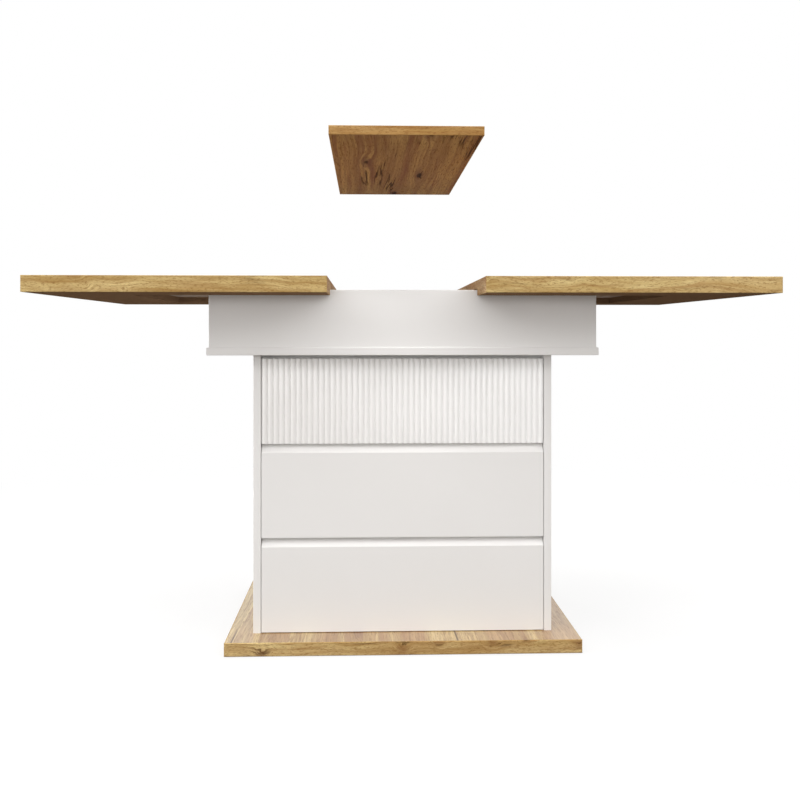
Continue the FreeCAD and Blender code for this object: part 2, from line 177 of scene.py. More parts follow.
# %% Lamps
def soft_box(name, place, aim, wide, high, watts):
    """A rectangular lamp at place, turned to face aim."""
    data = bpy.data.lights.new(name, "AREA")
    data.shape = "RECTANGLE"
    data.size, data.size_y, data.energy = wide, high, watts
    lamp = bpy.data.objects.new(name, data)
    way = np.array(aim, float) - np.array(place, float)
    flat = np.hypot(way[0], way[1])
    lamp.location = place
    lamp.rotation_euler = (np.arctan2(flat, -way[2]), 0.0, np.arctan2(way[1], way[0]) - np.pi / 2)
    scene.collection.objects.link(lamp)
    return lamp


WHOLE, FRONTS, GROUND = (0.0, 0.0, 0.6), (0.0, -0.2, 0.55), (0.0, 0.0, 0.0)
lamps = [
    soft_box("front_middle", (0.0, -4.0, 1.7), WHOLE, 3.0, 1.4, 6.0),
    soft_box("front_low", (0.0, -4.2, 0.95), WHOLE, 3.0, 0.6, 22.0),
    soft_box("left_high", (-2.4, -2.6, 2.7), WHOLE, 2.0, 1.8, 35.0),
    soft_box("right_high", (2.4, -2.6, 2.7), WHOLE, 2.0, 1.8, 31.0),
    soft_box("right_middle", (3.0, -2.4, 1.6), WHOLE, 1.6, 1.6, 24.0),
    soft_box("left_low", (-2.9, -2.6, 0.75), FRONTS, 1.2, 0.6, 10.0),
    soft_box("left_far", (-3.4, -0.55, 0.75), FRONTS, 0.5, 0.6, 50.0),
    soft_box("overhead", (0.0, -0.4, 3.2), GROUND, 3.2, 3.2, 92.0),
    soft_box("back_left", (-2.4, 2.9, 1.9), WHOLE, 1.8, 1.8, 40.0),
    soft_box("back_right", (2.4, 2.9, 1.9), WHOLE, 1.8, 1.8, 40.0),
]
print("lamps:", len(lamps), "watts:", sum(lamp.data.energy for lamp in lamps))

# %% [markdown]
# The oak is a printed board: its figure is that of wide knotty planks, with flowing darker streaks, reddish
# heart, short pores, knots and dark cracks. It could be painted on a picture, but here it is worked out in
# nodes from three lengths: along the grain, across it and through the board. So it holds at any distance and
# needs no file. These tools draw out noise, mix colours and take a vector apart.

# %% Tools for figured materials
def scaled(tree, vector, factors):
    """A vector, each part of it multiplied by its own factor."""
    return put(tree, "VectorMath", vector, factors, operation="MULTIPLY")


def axes(tree, vector):
    """The three parts of a vector."""
    return put(tree, "SeparateXYZ", vector).node.outputs


def stretched_noise(tree, point, scale, detail=3.0, rough=0.55, out=0):
    """Noise that is drawn out: scale counts the waves in a metre along, across and through. Output 0 is one
    number, and output 1 a colour of three."""
    return put(tree, "TexNoise", named={"Vector": scaled(tree, point, scale), "Scale": 1.0, "Detail": detail,
                                        "Roughness": rough}, out=out)


def mix(tree, share, one, two, blend="MIX", kind="RGBA"):
    """one where share is 0 and two where it is 1, for colours or for vectors. A Mix node has sockets for each
    kind, so they are counted: the first of the two inputs, and the output."""
    node = put(tree, "Mix", data_type=kind, blend_type=blend).node
    first, result = {"RGBA": (6, 2), "VECTOR": (4, 1)}[kind]
    for index, feed in ((0, share), (first, one), (first + 1, two)):
        if isinstance(feed, bpy.types.NodeSocket):
            tree.links.new(feed, node.inputs[index])
        else:
            node.inputs[index].default_value = feed
    return node.outputs[result]


print("figure tools ready")

# %% [markdown]
# Every material starts from the place on the table, in metres, so that no two parts look alike, and ends in
# one surface shader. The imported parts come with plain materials, and a part is dressed by putting another
# material into its slots, which leaves its shape alone.

# %% Tools to start, end and give materials
def new_material(name):
    """A material with an empty tree, its tree, and a socket with the place on the table in metres."""
    material = bpy.data.materials.new(name)
    material.use_nodes = True
    material.node_tree.nodes.clear()
    return material, material.node_tree, put(material.node_tree, "TexCoord", out=3)


def bumped(tree, height, strength, reach):
    """A normal tilted as if height, from 0 to 1, stood out by reach metres. Low strength weakens it."""
    return put(tree, "Bump", named={"Strength": strength, "Distance": reach, "Height": height})


def close_material(material, **sockets):
    """End a material with one surface shader; its sockets are named with _ for each space."""
    tree = material.node_tree
    named = {key.replace("_", " "): feed for key, feed in sockets.items()}
    surface = put(tree, "BsdfPrincipled", named=named)
    tree.links.new(surface, tree.nodes.new("ShaderNodeOutputMaterial").inputs["Surface"])
    return material


def dress(material, *names):
    """Put this material into every slot of the named CAD parts."""
    for name in names:
        mesh = nodes[name].data
        for index in range(len(mesh.materials)):
            mesh.materials[index] = material
    return len(names)


print("material tools ready")

# %% [markdown]
# The figure is built in three steps, and every oak piece shares it. First comes the way the grain runs:
# planks side by side, and lanes that bend round the knots. Straight lanes would be easier, but it is the
# bending that makes wood look grown.

# %% Oak: planks, lanes and knots
def oak_lanes(tree, point):
    """Planks are cells of a one-way cell pattern across the grain, and each shifts the figure along. A slow
    noise makes the grain wander, and a hump at each knot pushes it aside. The knots are cells whose edges are
    ragged by noise, and only some of the cells have one. Gives the bent point, the plank's random colour, and
    how near a knot is, from 0 to 1."""
    planks_in_a_metre, plank_shift = 7.0, (2.3, 0.0, 1.7)
    cells_in_a_metre, raggedness = (2.2, 11.0, 0.0), (0.2, 0.2, 0.0)
    wander_reach, knot_push = 0.06, 0.012
    plank = put(tree, "TexVoronoi", named={"W": axes(tree, point)[1], "Scale": planks_in_a_metre,
                                           "Randomness": 0.85}, out=1, voronoi_dimensions="1D")
    point = put(tree, "VectorMath", point, scaled(tree, plank, plank_shift), operation="ADD")
    along, across, through = axes(tree, point)
    wander = stretched_noise(tree, point, (1.0, 5.0, 2.0), detail=2.0)
    ragged = stretched_noise(tree, point, (16.0, 110.0, 16.0), detail=3.0, rough=0.5, out=1)
    cell = put(tree, "VectorMath", scaled(tree, point, cells_in_a_metre), scaled(tree, ragged, raggedness),
               operation="ADD")
    knot = put(tree, "TexVoronoi", named={"Vector": cell, "Scale": 1.0, "Randomness": 1.0},
               voronoi_dimensions="2D")
    chosen = smooth_step(tree, put(tree, "SeparateColor", knot.node.outputs["Color"]), 0.4, 0.6)
    near = calc(tree, "MULTIPLY", smooth_step(tree, knot, 0.0, 0.32, start=1.0, end=0.0), chosen)
    pushed = calc(tree, "MULTIPLY_ADD", near, knot_push, across)
    lane = calc(tree, "MULTIPLY_ADD", wander, wander_reach, pushed)
    return put(tree, "CombineXYZ", along, lane, through), plank, near


print("oak lanes ready")

# %% [markdown]
# Old boards crack along the grain, most of all beside a knot. A crack could be drawn as a line, but it has
# to wind with the grain, so it is found where a noise passes through its middle value: there it is thin, dark
# and never quite straight.

# %% Oak: cracks
def oak_cracks(tree, point, bent, near, age):
    """Cracks follow the middle line of a noise. They open in some places and beside knots."""
    noise = stretched_noise(tree, bent, (0.8, 30.0, 4.0), detail=4.0)
    split = calc(tree, "ABSOLUTE", calc(tree, "SUBTRACT", noise, 0.5))
    open_here = smooth_step(tree, stretched_noise(tree, point, (1.4, 9.0, 2.0), detail=1.0), 0.55, 0.63)
    where = calc(tree, "MAXIMUM", open_here, smooth_step(tree, near, 0.45, 0.75))
    return calc(tree, "MULTIPLY", smooth_step(tree, split, 0.006, 0.032, start=1.0, end=0.0),
                calc(tree, "MULTIPLY", where, age))


print("oak cracks ready")

# %% [markdown]
# Then the lanes are coloured, from the broadest mark to the finest, as a printer lays one plate over another:
# streaks, red heartwood and its veins, growth lines, fibres and pores, the planks' own tones, and last the
# knots and the dark cracks that run between them. A node group holds it all, with two numbers to set.

# %% Oak: colour, roughness and height
DARK_STREAK, PALE_STREAK = paint(168, 131, 78), paint(212, 181, 125)
RED_HEART, RED_VEIN = paint(158, 108, 64), paint(142, 94, 54)
GROWTH_LINE, DARK_FIBRE, DARK_PORE = paint(144, 102, 56), paint(146, 108, 60), paint(122, 82, 42)
KNOT_RIM, KNOT_CORE, DARK_CRACK = paint(112, 66, 38), paint(58, 34, 22), paint(62, 38, 22)


def oak_figure():
    """Node group: from (along, across, through) in metres, the share of red heartwood and the share of cracks
    and knots, to the oak's colour, roughness and height."""
    tree = bpy.data.node_groups.new("oak_figure", "ShaderNodeTree")
    for socket, kind in (("Point", "Vector"), ("Heartwood", "Float"), ("Age", "Float")):
        tree.interface.new_socket(socket, in_out="INPUT", socket_type="NodeSocket" + kind)
    for socket, kind in (("Colour", "Color"), ("Roughness", "Float"), ("Height", "Float")):
        tree.interface.new_socket(socket, in_out="OUTPUT", socket_type="NodeSocket" + kind)
    point, heartwood, age = list(tree.nodes.new("NodeGroupInput").outputs)[:3]
    bent, plank, near = oak_lanes(tree, point)
    near = calc(tree, "MULTIPLY", near, age)
    streak = stretched_noise(tree, bent, (0.7, 24.0, 3.0), detail=4.0, rough=0.6)
    heart = stretched_noise(tree, bent, (0.5, 13.0, 3.0), detail=5.0, rough=0.62)
    vein = stretched_noise(tree, bent, (0.9, 46.0, 4.0), detail=3.0, rough=0.6)
    lines = stretched_noise(tree, bent, (1.6, 130.0, 6.0), detail=3.0, rough=0.6)
    fibre = stretched_noise(tree, bent, (14.0, 420.0, 60.0), detail=4.0, rough=0.7)
    pore = smooth_step(tree, stretched_noise(tree, bent, (30.0, 420.0, 40.0), detail=2.0), 0.53, 0.64)
    crack = oak_cracks(tree, point, bent, near, age)
    core = smooth_step(tree, near, 0.8, 0.94)

    red = calc(tree, "MULTIPLY", smooth_step(tree, heart, 0.5, 0.57), heartwood)
    veins = calc(tree, "MULTIPLY", smooth_step(tree, vein, 0.52, 0.62), heartwood)
    colour = mix(tree, smooth_step(tree, streak, 0.32, 0.68), DARK_STREAK, PALE_STREAK)
    colour = mix(tree, red, colour, RED_HEART)
    colour = mix(tree, veins, colour, RED_VEIN)
    colour = mix(tree, smooth_step(tree, lines, 0.42, 0.62, end=0.5), colour, GROWTH_LINE)
    colour = mix(tree, smooth_step(tree, fibre, 0.4, 0.68, end=0.3), colour, DARK_FIBRE)
    colour = mix(tree, calc(tree, "MULTIPLY", pore, 0.55), colour, DARK_PORE)
    tone = calc(tree, "MULTIPLY_ADD", put(tree, "SeparateColor", plank, out=1), 0.16, 0.94)
    colour = mix(tree, 1.0, colour, put(tree, "CombineColor", tone, tone, tone), "MULTIPLY")
    colour = mix(tree, smooth_step(tree, near, 0.3, 0.85, end=0.5), colour, KNOT_RIM)
    colour = mix(tree, calc(tree, "MULTIPLY", crack, 0.85), colour, DARK_CRACK)
    colour = mix(tree, calc(tree, "MULTIPLY", core, 0.85), colour, KNOT_CORE)

    dip = calc(tree, "MAXIMUM", calc(tree, "MULTIPLY_ADD", pore, 0.35, crack), core)
    height = calc(tree, "MULTIPLY_ADD", fibre, -0.2, calc(tree, "SUBTRACT", 1.0, dip))
    rough = calc(tree, "MULTIPLY_ADD", fibre, 0.1, calc(tree, "MULTIPLY", dip, 0.2))
    end = tree.nodes.new("NodeGroupOutput")
    for index, feed in enumerate((colour, rough, height)):
        tree.links.new(feed, end.inputs[index])
    return tree


figure = oak_figure()
print("oak group:", len(figure.nodes), "nodes")

# %% [markdown]
# The undersides of the two halves carry the plain brown paper that keeps such a board from warping. Their
# dark, even tone is partly the paper's own and partly painted shade, for the shade under the top. The strips
# glued under their edges are papered too. One colour would do from afar, but faint fibres keep it from
# looking like paint.

# %% Brown paper, with painted shade
def dimmed(shade, share):
    """A written colour with all its numbers multiplied by share."""
    return paint(*(share * np.array(shade)))


def paper_and_painted_shade(tree, place, shade):
    """The paper's colour: brown with faint fibres. Its dark tone is partly painted shade, for the shade under
    the top.
    """
    fibres = stretched_noise(tree, place, (30.0, 260.0, 260.0))
    return mix(tree, smooth_step(tree, fibres, 0.3, 0.7), dimmed(shade, 0.92), paint(*shade))


# The strips' paper: its dark tone is partly painted shade under the top.
strip_paper_and_shade, tree, place = new_material("paper_and_painted_shade")
pulp = stretched_noise(tree, place, (900.0, 900.0, 900.0), detail=2.0)
close_material(strip_paper_and_shade, Base_Color=paper_and_painted_shade(tree, place, (146, 118, 92)), Roughness=0.75,
               Specular_IOR_Level=0.0, Normal=bumped(tree, pulp, 0.2, 0.0001))
strips = [f"{side}_{edge}_strip" for side in ("left", "right") for edge in ("front", "rear", "end")]
print("papered strips:", dress(strip_paper_and_shade, *strips))

# %% [markdown]
# A board shows the figure with the grain from front to back. Its edges are covered by glued bands, printed
# with the grain along the edge and with shorter marks. So the same figure is laid in two ways: only the
# order of the three lengths changes, and for the bands they are also drawn together.

# %% How the figure lies
BAND_SCALE = (5.0, 1.3, 1.0)    # how much finer the bands' figure is, along, across and through


def board_point(tree, place):
    """(y, x, z): the grain from front to back, the width across it."""
    x, y, z = axes(tree, place)
    return put(tree, "CombineXYZ", y, x, z)


def band_point(tree, place):
    """(x, z, y) on front and rear bands and (y, z, x) on end bands, so that the grain follows the edge."""
    x, y, z = axes(tree, place)
    facing = put(tree, "VectorMath", put(tree, "NewGeometry", out=3), operation="ABSOLUTE")
    sideways, ahead = axes(tree, facing)[:2]
    on_front = calc(tree, "GREATER_THAN", ahead, sideways)
    at_end, at_front = put(tree, "CombineXYZ", y, z, x), put(tree, "CombineXYZ", x, z, y)
    return scaled(tree, mix(tree, on_front, at_end, at_front, kind="VECTOR"), BAND_SCALE)


print("bands are drawn finer by", BAND_SCALE)

# %% [markdown]
# One function then makes all the oak finishes. A real table is cut from boards of one print, so the pieces
# share the figure and differ in where it starts, in tone and in gloss. The bands that face the gap lie in
# shade and look darker, so they have a tint of their own.

# %% Oak finishes
GAP_EDGE = float(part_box("right_edge_bands")[0][0])
GAP_FADE = (0.0004, 0.0008)    # the gap's tint ends between these distances from its face, in metres


def upward(tree):
    """How much a face looks up: 1 flat above, 0 upright, -1 flat below."""
    return axes(tree, put(tree, "NewGeometry", out=3))[2]


def tinted(tree, colour, tint):
    """A colour multiplied by a tint."""
    return mix(tree, 1.0, colour, (*tint, 1.0), "MULTIPLY")


def at_gap(tree, place):
    """1 on the faces at the gap between the halves, 0 farther out."""
    aside = calc(tree, "ABSOLUTE", axes(tree, place)[0])
    return smooth_step(tree, aside, GAP_EDGE + GAP_FADE[0], GAP_EDGE + GAP_FADE[1], start=1.0, end=0.0)


def oak_finish(name, lay, shift, heartwood, age, tint, rough, shine, lacquer=0.0, below=None, paper=None,
               inner=None):
    """The oak laid by lay, moved by shift so that each board has its own figure, multiplied by tint, and with
    a share of clear lacquer. Faces that look down can have another tint, below, or brown paper of the shade
    paper, whose dark tone is partly painted shade. Faces at the gap between the halves can have the tint
    inner."""
    material, tree, place = new_material(name)
    node = tree.nodes.new("ShaderNodeGroup")
    node.node_tree = figure
    tree.links.new(put(tree, "Mapping", lay(tree, place), shift), node.inputs["Point"])
    node.inputs["Heartwood"].default_value = heartwood
    node.inputs["Age"].default_value = age
    printed, rougher, height = node.outputs
    colour = tinted(tree, printed, tint)
    if below or paper:
        # Where paper is given, its dark tone on the faces that look down is partly painted shade.
        under = paper_and_painted_shade(tree, place, paper) if paper else tinted(tree, printed, below)
        colour = mix(tree, calc(tree, "LESS_THAN", upward(tree), -0.5), colour, under)
    if inner:
        colour = mix(tree, at_gap(tree, place), colour, tinted(tree, printed, inner))
    return close_material(material, Base_Color=colour, Roughness=calc(tree, "ADD", rougher, rough),
                          Normal=bumped(tree, height, 0.35, 0.0003), IOR=1.46, Specular_IOR_Level=shine,
                          Coat_Weight=lacquer, Coat_Roughness=0.2)


print("gap edge at", round(GAP_EDGE, 4))

# %% [markdown]
# Now each oak piece gets its settings. The leaf is printed on both faces: its underside is redder, and its
# upper face has the tone of the halves, so that it matches them when it is let in. The base carries a clear
# lacquer and shines more. Settings with names are longer than bare rows, but they can be read.

# %% Dress the oak
TOP_TINT, GAP_TINT = (0.82, 0.83, 0.9), (0.75, 0.73, 0.83)
# The halves' undersides get brown paper: its dark tone is partly painted shade.
half = dict(heartwood=0.45, age=0.85, tint=TOP_TINT, rough=0.42, shine=0.08, paper=(130, 103, 77))
leaf = dict(heartwood=0.75, age=1.0, tint=TOP_TINT, rough=0.55, shine=0.06, below=(0.84, 0.76, 0.62))
base = dict(heartwood=0.65, age=0.9, tint=(1.06, 1.15, 1.14), rough=0.3, shine=0.7, lacquer=0.6)
boards = {"left": ("left_board", half), "right": ("right_board", half), "leaf": ("leaf_board", leaf),
          "base": ("base_plate", base)}
band = dict(heartwood=0.25, rough=0.6, shine=0.05)
bands = {"left": dict(band, age=0.3, tint=(1.07, 1.2, 1.28), inner=GAP_TINT),
         "right": dict(band, age=0.3, tint=(1.14, 1.32, 1.46), inner=GAP_TINT),
         "leaf": dict(band, age=0.15, tint=(1.0, 0.99, 0.96)),
         "base": dict(band, age=0.8, tint=(1.13, 1.27, 1.39))}
shifts = {"left": (0.3, 0.11, 0.2), "right": (2.9, 0.73, 0.6), "leaf": (5.1, 0.4, 1.3),
          "base": (7.7, 0.2, 2.1)}
dressed = 0
for name, shift in shifts.items():
    part, settings = boards[name]
    dressed += dress(oak_finish(name + "_oak", board_point, shift, **settings), part)
    dressed += dress(oak_finish(name + "_oak_band", band_point, shift, **bands[name]), name + "_edge_bands")
print("oak pieces dressed:", dressed)

# %% [markdown]
# The white parts are coated board with a satin face. A plain white would look like plastic foam, so the coat
# gets the faint, slow ripple of a sprayed surface, a gloss that varies a little, and a hardly visible drift
# of tone. On the reeded front the coat also carries painted light: a whiter right end, and painted shade on
# the right side of each reed.

# %% White satin coat
def satin_coat(name, left, right, gloss, shine, ripples, pitch=0.0):
    """A satin coat whose white goes from left to right across the table; where the two differ, the whiter
    right end is painted light. Noise of about a millimetre makes the ripple of the spray, as strong as
    ripples says, and slow noise varies gloss and tone. With a pitch, a cosine of x paints shade on each reed:
    a little darker towards its right side and lightest just left of its crest, as if lit from the left."""
    reach, reed_shade_share, lag = 0.4, 0.035, 0.8 * np.pi
    material, tree, place = new_material(name)
    x = axes(tree, place)[0]
    drift = stretched_noise(tree, place, (5.0, 5.0, 5.0))
    ripple = stretched_noise(tree, place, (700.0, 700.0, 700.0), detail=2.0)
    # The white from left to right: where left and right differ, the whiter right end is painted light.
    white = mix(tree, smooth_step(tree, x, -reach, reach), paint(*left), paint(*right))
    colour = mix(tree, smooth_step(tree, drift, 0.3, 0.7, end=0.03), white, paint(190, 184, 176))
    # Painted shade on the reeds: each is a little darker towards its right side, as if lit from the left.
    if pitch:
        turn = calc(tree, "MULTIPLY_ADD", x, 2 * np.pi / pitch, -lag)
        painted_reed_shade = calc(tree, "MULTIPLY_ADD", calc(tree, "COSINE", turn), -reed_shade_share, reed_shade_share)
        colour = mix(tree, painted_reed_shade, colour, paint(96, 90, 84))
    rough = put(tree, "MapRange", drift, 0.3, 0.7, gloss, gloss + 0.06)
    return close_material(material, Base_Color=colour, Roughness=rough,
                          Normal=bumped(tree, ripple, ripples, 0.0002), IOR=1.5, Specular_IOR_Level=shine)


COAT = (228, 227, 226)
coat = satin_coat("white_coat", COAT, COAT, gloss=0.36, shine=0.4, ripples=0.1)
white_parts = [name for name in nodes if name.startswith(("cabinet_", "apron_"))
               and name not in ("apron_pads", "apron_corner_blocks")]
print("white parts:", dress(coat, *white_parts))

# %% [markdown]
# Inside, the drawers are boxes of thin coated board with a base of white hardboard, brown below. Both are
# seen only with a drawer open, from close by, so what tells them apart is fine: a pressed weave in the one
# and clotted fibres in the other.

# %% Drawer boards
LEVELS = ("top", "middle", "bottom")


def drawer_board():
    """Light grey coated board, with the fine weave that is pressed into its coating."""
    material, tree, place = new_material("drawer_board")
    weave_scale = 4200.0
    x, y, z = axes(tree, scaled(tree, place, (weave_scale,) * 3))
    weave = calc(tree, "MULTIPLY", calc(tree, "SINE", calc(tree, "ADD", x, y)), calc(tree, "SINE", z))
    cloud = stretched_noise(tree, place, (40.0, 40.0, 40.0), detail=4.0)
    colour = mix(tree, cloud, paint(216, 214, 209), paint(226, 224, 220))
    return close_material(material, Base_Color=colour, Roughness=0.5,
                          Normal=bumped(tree, weave, 0.1, 0.0001))


def hardboard():
    """White above; below, brown pressed fibres."""
    material, tree, place = new_material("hardboard")
    fibres = stretched_noise(tree, place, (260.0, 260.0, 260.0), detail=5.0, rough=0.7)
    brown = mix(tree, smooth_step(tree, fibres, 0.3, 0.7), paint(112, 78, 50), paint(158, 118, 80))
    above = mix(tree, fibres, paint(222, 220, 215), paint(230, 228, 224))
    colour = mix(tree, calc(tree, "GREATER_THAN", upward(tree), 0.5), brown, above)
    return close_material(material, Base_Color=colour, Roughness=0.6,
                          Normal=bumped(tree, fibres, 0.15, 0.0002))


walls = [f"{level}_drawer_{part}" for level in LEVELS for part in ("left_side", "right_side", "back")]
print("drawer walls:", dress(drawer_board(), *walls))
print("drawer bases:", dress(hardboard(), *(f"{level}_drawer_base" for level in LEVELS)))

# %% [markdown]
# The extension slides are beech, hard and plain, with the short dark flecks of that wood. The rails and
# runners lie along the table and the corner blocks stand upright, so the same wood is turned for the blocks.

# %% Beech
def beech(name, turn):
    """Pale, slightly pink wood with flecks; turn brings its length to the first axis."""
    material, tree, place = new_material(name)
    point = put(tree, "Mapping", place, None, turn)
    fibre = stretched_noise(tree, point, (6.0, 190.0, 190.0), detail=4.0, rough=0.6)
    fleck = smooth_step(tree, stretched_noise(tree, point, (170.0, 900.0, 900.0), detail=1.0), 0.6, 0.7)
    colour = mix(tree, smooth_step(tree, fibre, 0.3, 0.7), paint(196, 154, 112), paint(220, 186, 146))
    colour = mix(tree, calc(tree, "MULTIPLY", fleck, 0.55), colour, paint(140, 92, 58))
    return close_material(material, Base_Color=colour, Roughness=0.62,
                          Normal=bumped(tree, fibre, 0.2, 0.0002))


rails = ["front_guide_rail", "rear_guide_rail"]
rails += [f"{side}_{end}_runner" for side in ("left", "right") for end in ("front", "rear")]
print("beech rails and runners:", dress(beech("beech_along", (0.0, 0.0, 0.0)), *rails))
print("beech blocks:", dress(beech("beech_upright", (0.0, np.pi / 2, 0.0)), "apron_corner_blocks"))

# %% [markdown]
# Tracks and slides are galvanised sheet, whose zinc sets in frosty patches; screws have the same coat with
# far smaller crystals. The pads and glides are moulded in dark grey plastic, and white plastic caps cover the
# screws inside the drawers.

# %% Zinc and plastic
def zinc(name, spangle, shade, rough):
    """Zinc on steel: cells of frosty crystals, each with its own tone and gloss, spangle of them in a
    metre. Noise bends the edges of the cells."""
    material, tree, place = new_material(name)
    noise = put(tree, "TexNoise", named={"Vector": place, "Scale": 2.0 * spangle}, out=1)
    bent = put(tree, "VectorMath", place, scaled(tree, noise, (0.3 / spangle,) * 3), operation="ADD")
    cell = put(tree, "TexVoronoi", named={"Vector": bent, "Scale": spangle}, out=1)
    tone = put(tree, "SeparateColor", cell)
    colour = mix(tree, tone, dimmed(shade, 0.86), paint(*shade))
    return close_material(material, Base_Color=colour, Metallic=1.0,
                          Roughness=put(tree, "MapRange", tone, 0.0, 1.0, rough, rough + 0.16))


def moulded(name, shade):
    """Plastic with the faint clouds of its moulding and the fine grain of a spark-eroded mould."""
    material, tree, place = new_material(name)
    cloud = stretched_noise(tree, place, (120.0, 120.0, 120.0))
    grain = stretched_noise(tree, place, (2600.0, 2600.0, 2600.0), detail=1.0)
    colour = mix(tree, cloud, dimmed(shade, 0.9), paint(*shade))
    rough = put(tree, "MapRange", cloud, 0.3, 0.7, 0.45, 0.6)
    return close_material(material, Base_Color=colour, Roughness=rough,
                          Normal=bumped(tree, grain, 0.25, 0.0001))


galvanised = zinc("galvanised", 160.0, (196, 200, 203), 0.3)
bright_zinc = zinc("bright_zinc", 900.0, (206, 204, 196), 0.24)
slip, cap_white = moulded("slip_plastic", (56, 56, 58)), moulded("cap_plastic", (228, 226, 221))
sheets = [f"{level}_drawer_{part}" for level in LEVELS for part in ("slides", "tracks")]
print("steel sheets:", dress(galvanised, *sheets), "pads:", dress(slip, "apron_pads"))

# %% [markdown]
# New surfaces come from one tool: a skin stretched over rings of points, as a boat's planks over its ribs. A
# reeded panel, a bevelled front and a screw are all rings carried along a line, so each of them only has to
# say where its rings lie, as whole numpy arrays.

# %% A skin over rings
def skin(name, rings, material, body, replaced=(), sharp=35.0):
    """Closed bodies from rings of shape (bodies, rings, points, 3): four-cornered faces join neighbouring
    rings and one flat face closes each end. Faces that look inwards, found from the sign of the volume, are
    turned round. Edges that turn by more than sharp degrees stay crisp."""
    bodies, count, around = rings.shape[:3]
    index = np.arange(bodies * count * around).reshape(bodies, count, around)
    ahead = np.roll(index, -1, axis=2)
    sides = np.stack([index[:, :-1], ahead[:, :-1], ahead[:, 1:], index[:, 1:]], axis=-1).reshape(-1, 4)
    ends = np.concatenate([index[:, 0, ::-1], index[:, -1, :]])
    points = rings.reshape(-1, 3)
    a, b, c, d = (points - points.mean(axis=0))[sides].transpose(1, 0, 2)
    volume = (a * (np.cross(b, c) + np.cross(c, d))).sum()
    way = 1 if volume > 0 else -1
    mesh = bpy.data.meshes.new(name)
    mesh.from_pydata(points.tolist(), [], sides[:, ::way].tolist() + ends[:, ::way].tolist())
    mesh.polygons.foreach_set("use_smooth", np.ones(len(mesh.polygons), bool))
    mesh.set_sharp_from_angle(angle=np.radians(sharp))
    mesh.materials.append(material)
    piece = bpy.data.objects.new(name, mesh)
    scene.collection.objects.link(piece)
    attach(piece, body)
    for node in replaced:
        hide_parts(node)
    print(name, "faces:", len(mesh.polygons))
    return piece


print("skin tool ready")

# %% [markdown]
# The top drawer's front is reeded: fifty upright half-rounds side by side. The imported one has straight
# facets, so it is drawn again as a smooth surface. Each ring is a slice across the panel, and its front edge
# follows the reeds.

# %% Reeded drawer front
def reeded_front(low, high, reeds, rise, steps, arris):
    """Slices along x, each a ring in y and z. The front lies on circles of radius
    (p^2 / 4 + rise^2) / (2 rise), p being a reed's width. A soft minimum, -k log(e^(-d / k) + e^(-c / k)),
    fills the valleys to the depth c, as paint does, and the front's lower and upper arrises are quarter
    rounds."""
    x = np.linspace(low[0], high[0], reeds * steps + 1)
    pitch = (high[0] - low[0]) / reeds
    radius = (pitch**2 / 4 + rise**2) / (2 * rise)
    offset = (np.arange(len(x)) % steps / steps - 0.5) * pitch
    sunk = radius - np.sqrt(radius**2 - offset**2)
    soft, fill = 0.1 * rise, 0.85 * rise
    front = low[1] - soft * np.logaddexp(-sunk / soft, -fill / soft)
    turn = np.linspace(0.0, np.pi / 2, 4)
    inward, upward_by = arris * (1 - np.sin(turn)), arris * (1 - np.cos(turn))
    height = np.concatenate([low[2] + upward_by, (high[2] - upward_by)[::-1], [high[2], low[2]]])
    depth = front[:, None] + np.concatenate([inward, inward[::-1], [0.0, 0.0]])
    depth[:, -2:] = high[1]
    return np.stack(np.broadcast_arrays(x[:, None], depth, height), axis=-1)[None]


low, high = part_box("top_drawer_front")
REEDS = 50
# The reeded coat is whiter towards the right end, which is painted light, and its reeds carry painted shade.
reeded_coat_painted_light = satin_coat("reeded_coat_painted_light", (243, 242, 241), (254, 254, 254), gloss=0.2, shine=0.5, ripples=0.02,
                         pitch=(high[0] - low[0]) / REEDS)
skin("reeded_drawer_front", reeded_front(low, high, REEDS, rise=0.004, steps=16, arris=0.0008), reeded_coat_painted_light,
     "top_drawer", ["top_drawer_front"])

# %% [markdown]
# The two plain fronts have a sloping top edge to pull on. Their edges are drawn again with a small round,
# because coated board has no knife edges: the round catches the light as a fine bright line.

# %% Bevelled drawer fronts
def bevelled_front(low, high, slope_height, slope_depth):
    """Two rings at the ends of a straight prism: face, slope, flat top, back and underside."""
    depth = np.array([low[1], low[1], low[1] + slope_depth, high[1], high[1]])
    height = np.array([low[2], high[2] - slope_height, high[2], high[2], low[2]])
    x = np.array([low[0], high[0]])
    return np.stack(np.broadcast_arrays(x[:, None], depth, height), axis=-1)[None]


for level in ("middle", "bottom"):
    low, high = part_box(f"{level}_drawer_front")
    prism = bevelled_front(low, high, slope_height=0.018, slope_depth=0.015)
    piece = skin(f"bevelled_{level}_front", prism, coat, f"{level}_drawer",
                 [f"{level}_drawer_front"], sharp=180.0)
    eased = piece.modifiers.new("eased_edges", "BEVEL")
    eased.width, eased.segments, eased.harden_normals = 0.0008, 3, True

# %% [markdown]
# Screws, caps and glides are turned shapes, as from a lathe: a radius and a height for each row, carried
# round an axis. Blender has a modifier for that, but rings of points also take what a lathe can't do: a cross
# recess is a dip that depends on the angle, and a thread is a ridge that climbs as the angle grows.

# %% Turned shapes
AROUND = 24
ANGLE = 2 * np.pi * np.arange(AROUND) / AROUND


def all_round(column):
    """A column of numbers, one for each row, repeated for every angle."""
    return np.repeat(column, AROUND, axis=1)


def turned(places, out, radius, lift):
    """Rings round an axis along out through each place: a point lies radius from the axis at its angle and
    lift along it. radius and lift are arrays of rows by angles."""
    out = np.array(out, float)
    one = np.roll(np.abs(out), 1)
    spoke = np.cos(ANGLE)[:, None] * one + np.sin(ANGLE)[:, None] * np.cross(out, one)
    return np.array(places)[:, None, None, :] + radius[..., None] * spoke + lift[..., None] * out


